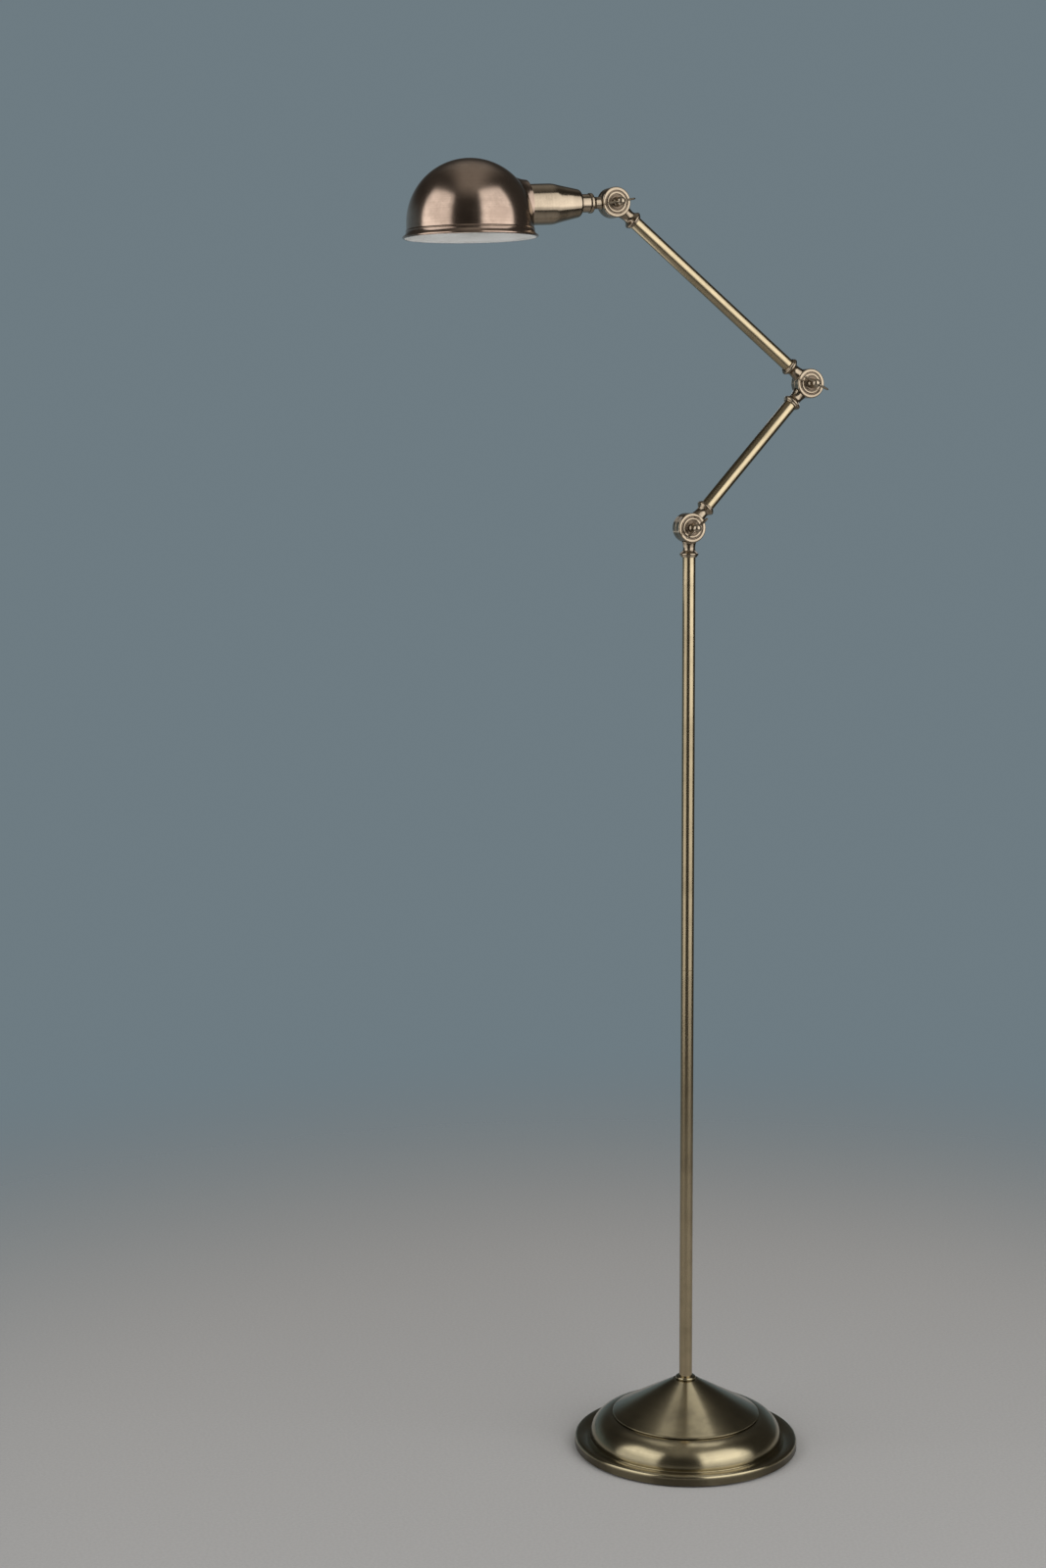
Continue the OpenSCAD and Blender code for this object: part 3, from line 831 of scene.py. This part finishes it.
housing_outside = [(5.6, 40.4), (12.0, 40.4), (12.9, 40.55), (13.8, 40.95), (14.6, 41.7),
                   (15.15, 42.6), (15.5, 43.8), (16.4, 48), (17.5, 53), (19.2, 61), (20.5, 66.5),
                   (21.2, 69.4), (21.7, 71.8), (22.0, 74.2), (22.1, 77), (22.1, 92), (21.95, 99),
                   (21.8, SEAT)]
housing_inside = [(20.6, SEAT), (20.9, 92), (20.9, 77), (20.7, 74), (20.2, 70), (18.2, 61.2),
                  (16.3, 53.2), (14.5, 44.6), (14.0, 42.9), (13.1, 42.0), (12.0, 41.6), (5.6, 41.6)]
housing = put(lathe("housing", ring(housing_outside + housing_inside), 128), HEAD, head_line)
finish_piece(housing, HEAD_BRASS, "head", "antique_bronze_shade", "socket_housing")

# %% [markdown]
# The shade is spun from sheet, then a press pushes out a flared boss with a flat seat for the
# lampholder. Here the dome and the boss are turned as two solids, each about its own line, and joined
# with a Boolean, and a cylinder cuts the flat seat. The same is done for the hollow, a sheet's
# thickness smaller, and the hollow is taken away from the solid, which leaves the sheet. The hollow's
# faces bring the white enamel with them. Where the boss runs into the dome, the Boolean leaves thin
# faces, and a Weighted Normal modifier lets the large faces beside them decide the shading.

# %% Shade
SHADE_R = 68.2
WALL_H = 16.0
SEAT_R = 26.6
FLARE_WIDTH = 9.2
FLARE_STEPS = 16
FLARE_SLOPE = 0.08
FLARE_CURVE = 0.031
BOSS_DEPTH = 30
HOLDER_HOLE = 17.1
SEAT_EDGE = 0.6
REACH = 168.0
AXIS_H = 33.5
SHADE_TURN = math.radians(-1.1)
DOME_STEPS = 80
TURN_STEPS = 200

side_up = Vector((0, 1, 0)).cross(-head_line)
side_up = -side_up if side_up.z < 0 else side_up
rim_middle = HEAD + head_line * REACH * MM - side_up * AXIS_H * MM
shade_up = Vector((math.sin(SHADE_TURN), 0, math.cos(SHADE_TURN)))


def flare(inwards):
    """The boss's outline: its radius grows as a parabola with the distance from the seat."""
    points = [(0, SEAT + inwards), (SEAT_R - inwards, SEAT + inwards)]
    for index in range(1, FLARE_STEPS + 1):
        out = FLARE_WIDTH * index / FLARE_STEPS
        depth = (math.sqrt(FLARE_SLOPE ** 2 + 2 * FLARE_CURVE * out) - FLARE_SLOPE) / FLARE_CURVE
        points.append((SEAT_R + out - inwards, SEAT + inwards * 0.3 + depth))
    return points + [(SEAT_R + 7 - inwards, SEAT + BOSS_DEPTH), (0, SEAT + BOSS_DEPTH)]


def shade_solid(name, outline, inwards, material_index):
    solid = put(lathe(name, outline, TURN_STEPS, closed=False), rim_middle, shade_up)
    boss = put(lathe("boss", flare(inwards), TURN_STEPS, closed=False), HEAD, head_line)
    cut(solid, boss, "UNION")
    cut(solid, rod(SEAT_R + SEAT_EDGE + inwards, SEAT - 40, SEAT + inwards, HEAD, head_line))
    solid.data.materials.clear()
    for material in (SHADE_BRONZE, ENAMEL):
        solid.data.materials.append(material)
    for face in solid.data.polygons:
        face.material_index = material_index
    return solid


SHADE_BRONZE = antique_brass("antique_bronze_shade", BRONZE_LIGHT, BRONZE_DARK, rim_middle, shade_up,
                             shine=0.2, clouds=0.45, pits=0.8, brushed=0.4)
dome_outside = [(0, 0), (70.4, 0)] + arc((71.2, 1.3), 1.4, -85, 85, 14) + [
    (70.9, 2.9), (70.2, 3.7), (69.5, 4.8), (69.0, 6.0), (68.75, 7.0), (68.9, 7.5), (69.2, 7.8),
    (69.25, 8.1), (69.05, 8.5), (68.5, 8.9), (SHADE_R, 9.5),
] + arc((0, WALL_H), SHADE_R, 0, 90, DOME_STEPS)
dome_inside = [(0, -4), (70.1, -4), (70.1, 1.8), (69.9, 2.2), (69.2, 3.3), (68.4, 4.6), (67.8, 6.0),
               (67.3, 7.6), (SHADE_R - SHEET, 9.5)] + arc((0, WALL_H), SHADE_R - SHEET, 0, 90, DOME_STEPS)
shade = shade_solid("shade_bowl", dome_outside, 0, 0)
hollow = shade_solid("hollow", dome_inside, SHEET, 1)
cut(shade, hollow)
cut(shade, rod(HOLDER_HOLE, SEAT - 10, SEAT + 10, HEAD, head_line))
finish_piece(shade, SHADE_BRONZE, "head", "antique_bronze_shade", "shade", angle=30)
apply_modifier(shade, "WEIGHTED_NORMAL", weight=60, keep_sharp=True)

# %% [markdown]
# Inside, the lampholder's sleeve comes through the seat and a threaded ring clamps the shade to it.
# The ring has ribs to grip it by: one small block is modelled, bevelled and copied round the ring.

# %% Lampholder and ring
holder = lathe("holder", [
    (0, 72), (14.2, 72), (15, 72.3), (18.0, 74), (18.4, 74.8), (18.4, SEAT), (16.8, SEAT),
    (16.8, 109.4), (16.2, 110), (14.8, 110), (14.3, 109.5), (14.3, 80), (4, 80), (4, 77), (0, 77),
], 96, closed=False)
finish_piece(put(holder, HEAD, head_line), HOLDER_BLACK, "head", "holder_plastic", "lampholder")

RING_IN = 16.85
RING_OUT = 20.4
RIBS = 24
RIB_SIZE = (1.0 * MM, 1.0 * MM, 2.6 * MM)
RIB_AT = (RING_OUT + 0.1) * MM
RIB_MID = (SEAT + 2.75) * MM
clamp = lathe("clamp_ring", ring([
    (RING_IN, SEAT + 1.3), (RING_OUT, SEAT + 1.3), (RING_OUT, SEAT + 4.2), (RING_OUT - 0.6, SEAT + 4.8),
    (RING_IN + 0.4, SEAT + 4.8), (RING_IN, SEAT + 4.4),
]), 96)
ribs = []
for index in range(RIBS):
    deselect()
    angle = ROUND * index / RIBS
    place = (RIB_AT * math.cos(angle), RIB_AT * math.sin(angle), RIB_MID)
    bpy.ops.mesh.primitive_cube_add(size=1, rotation=(0, 0, angle), location=place)
    bpy.ops.transform.resize(value=RIB_SIZE, orient_type="LOCAL")
    rib = bpy.context.object
    bake(rib)
    apply_modifier(rib, "BEVEL", width=0.25 * MM, segments=2)
    ribs.append(rib)
deselect()
for rib in ribs:
    rib.select_set(True)
clamp.select_set(True)
bpy.context.view_layer.objects.active = clamp
bpy.ops.object.join()
finish_piece(put(clamp, HEAD, head_line), RING_WHITE, "head", "white_plastic", "shade_ring")

# %% [markdown]
# The bulb is an opal globe on a screw cap. The cap's thread is drawn as a row of shallow waves along
# its outline, which is how a thread looks from the side.

# %% Bulb
GLOBE_R = 22.5
BULB_END = 162.0
CAP_START = 84.0
CAP_R = 13.0
globe_at = BULB_END - GLOBE_R
globe_outside = [(12.2, 108), (12.9, 108.2), (12.95, 110), (13.3, 111.8)] + arc(
    (0, globe_at), GLOBE_R, -51, 90, 40)
globe_inside = arc((0, globe_at), GLOBE_R - 0.8, 90, -51, 40) + [(12.6, 112), (12.2, 110.2)]
globe = lathe("bulb_glass", globe_outside + globe_inside + [(12.2, 108)], 96)
finish_piece(put(globe, HEAD, head_line), OPAL, "head", "opal_glass", "bulb_globe")

THREADS = 5
THREAD_START = 91
THREAD_DEPTH = 0.35
PITCH = 3.2
WAVE_STEPS = 8
wave = []
for index in range(THREADS * WAVE_STEPS + 1):
    swing = THREAD_DEPTH * math.cos(ROUND * index / WAVE_STEPS)
    wave.append((CAP_R - THREAD_DEPTH + swing, THREAD_START + PITCH * index / WAVE_STEPS))
cap = lathe("bulb_cap_metal", [(0, CAP_START), (4, CAP_START), (4, 85.2), (9, 88), (12.4, 90)] + wave
            + [(CAP_R - 0.2, 107.9), (12.0, 107.9), (12.0, 90.6), (8.8, 88.9), (3.4, 86.2), (0, 86.2)],
            72, closed=False)
finish_piece(put(cap, HEAD, head_line), CAP, "head", "cap_metal", "bulb_cap")

# %% [markdown]
# The studio is a pale floor, two tall soft boxes and a dim room. Polished metal shows what stands
# around it, so the two boxes become the two long highlights on every tube and on the shade. The room
# between them is kept dim, which gives the dark stripe in the middle. The boxes are weaker near the
# floor and fade at their sides and top, so the highlights end softly. Two small panels hang level
# behind the pole for the base to reflect, and a small card lights the shade's white lining from below.
# Far from the lamp the floor fades away, so it has no edge.

# %% Floor, lights and room
FLOOR_R = 2.1
FADE_FROM = 0.6
FADED_AT = FLOOR_R - 0.1
FLOOR_PALE = rgb(0.62, 0.61, 0.60)
FLOOR_SHADED = rgb(0.58, 0.57, 0.56)
BOX_DISTANCE = 2.2
BOX_BRIGHT = 1.35
BOX_FALL = 0.18
ACROSS = Vector((look.y, -look.x, 0))

deselect()
bpy.ops.mesh.primitive_circle_add(vertices=96, radius=FLOOR_R, fill_type="NGON", location=(0, 0, 0))
floor = bpy.context.object
floor.name = "studio_floor"
floor_finish = Finish("pale_floor")
speckle = floor_finish.noise(floor_finish.coordinates, 300, 4)
floor_x, floor_y, _ = floor_finish.split(floor_finish.coordinates)
from_lamp = (floor_x * floor_x + floor_y * floor_y) ** 0.5
floor.data.materials.append(floor_finish.surface(
    Base_Color=floor_finish.mix(speckle.step(0.3, 0.7), FLOOR_PALE, FLOOR_SHADED),
    Roughness=0.7 + speckle * 0.1, Alpha=1 - from_lamp.step(FADE_FROM, FADED_AT)))


def area_light(name, width, length, radiance):
    """A rectangular light that the camera doesn't see."""
    data = bpy.data.lights.new(name, "AREA")
    data.shape = "RECTANGLE"
    data.size = width
    data.size_y = length
    data.energy = math.pi * width * length * radiance
    light = bpy.data.objects.new(name, data)
    light.visible_camera = False
    bpy.context.scene.collection.objects.link(light)
    return light


def soft_box(name, bearing, top, width, radiance, low, full_from):
    """An upright light from the floor to top, in metres. Bearing is in degrees from the lamp's front.

    The light is at low strength at the floor and reaches its full strength at full_from.
    """
    turn = math.radians(bearing)
    outwards = Vector((math.sin(turn), -math.cos(turn), 0))
    light = area_light(name, width, top, radiance)
    glow = Finish(name, light.data)
    across, share, _ = glow.split(glow.node("ShaderNodeNewGeometry", {}, out="Parametric"))
    height = share * top
    edges = across.band(0.0, 1.0, 0.14) * share.band(-0.3, 1.0, 0.12)
    strength = edges * (BOX_BRIGHT - height * BOX_FALL)
    strength = strength * (low + height.step(full_from * 0.4, full_from) * (1 - low))
    emission = glow.node("ShaderNodeEmission", {}, Strength=strength)
    glow.node("ShaderNodeOutputLight", {}, emission)
    light.location = outwards * BOX_DISTANCE + UP * (top / 2)
    light.rotation_euler = (-outwards).to_track_quat("-Z", "Y").to_euler()


def panel(name, place, width, depth, radiance, upwards=False):
    """A small level light. Place is across, away from the viewer and up, in metres from the pole."""
    light = area_light(name, width, depth, radiance)
    across, away, up = place
    light.location = ACROSS * across + look * away + UP * up
    light.rotation_euler = (math.pi if upwards else 0, 0, math.atan2(-look.x, look.y))


soft_box("box_left", -85, 3.5, 2.35, 1.8, 0.45, 1.6)
soft_box("box_right", 27, 4.8, 2.9, 1.95, 0.45, 1.0)
panel("panel_right", (0.23, 0.47, 1.25), 0.38, 0.6, 0.85)
panel("panel_left", (-0.25, 0.47, 1.25), 0.24, 0.6, 0.45)
panel("card_under_shade", (-0.44, 0.06, 0.95), 0.4, 0.45, 0.9, upwards=True)

# %% [markdown]
# The room is dim, with a pale ceiling that shows as a soft glow on top of the shade. Low behind the
# lamp is a teal-grey wall. Where the wall is seen directly it has one even colour.

# %% Room
DIM = rgb(0.048, 0.046, 0.042)
WALL = rgb(0.155, 0.200, 0.225)
CEILING = rgb(0.30, 0.29, 0.27)

world = bpy.data.worlds.new("room")
bpy.context.scene.world = world
room = Finish("room", world, "Generated")
side = room.along(room.coordinates, ACROSS)
behind = room.along(room.coordinates, (0, 1, 0))
height = room.along(room.coordinates, UP)
shade_of_wall = room.mix(behind.step(0.3, 0.9) * (1 - height.step(0.10, 0.40)), DIM, WALL)
overhead = side.band(-0.30, 0.36, 0.2) * height.step(0.55, 0.9)
with_ceiling = room.mix(overhead, shade_of_wall, CEILING)
seen = room.node("ShaderNodeLightPath", {}, out="Is Camera Ray")
background = room.node("ShaderNodeBackground", {}, room.mix(seen, with_ceiling, WALL), 1.0)
room.node("ShaderNodeOutputWorld", {}, background)
bpy.context.scene.view_settings.view_transform = "Standard"
print("studio ready")
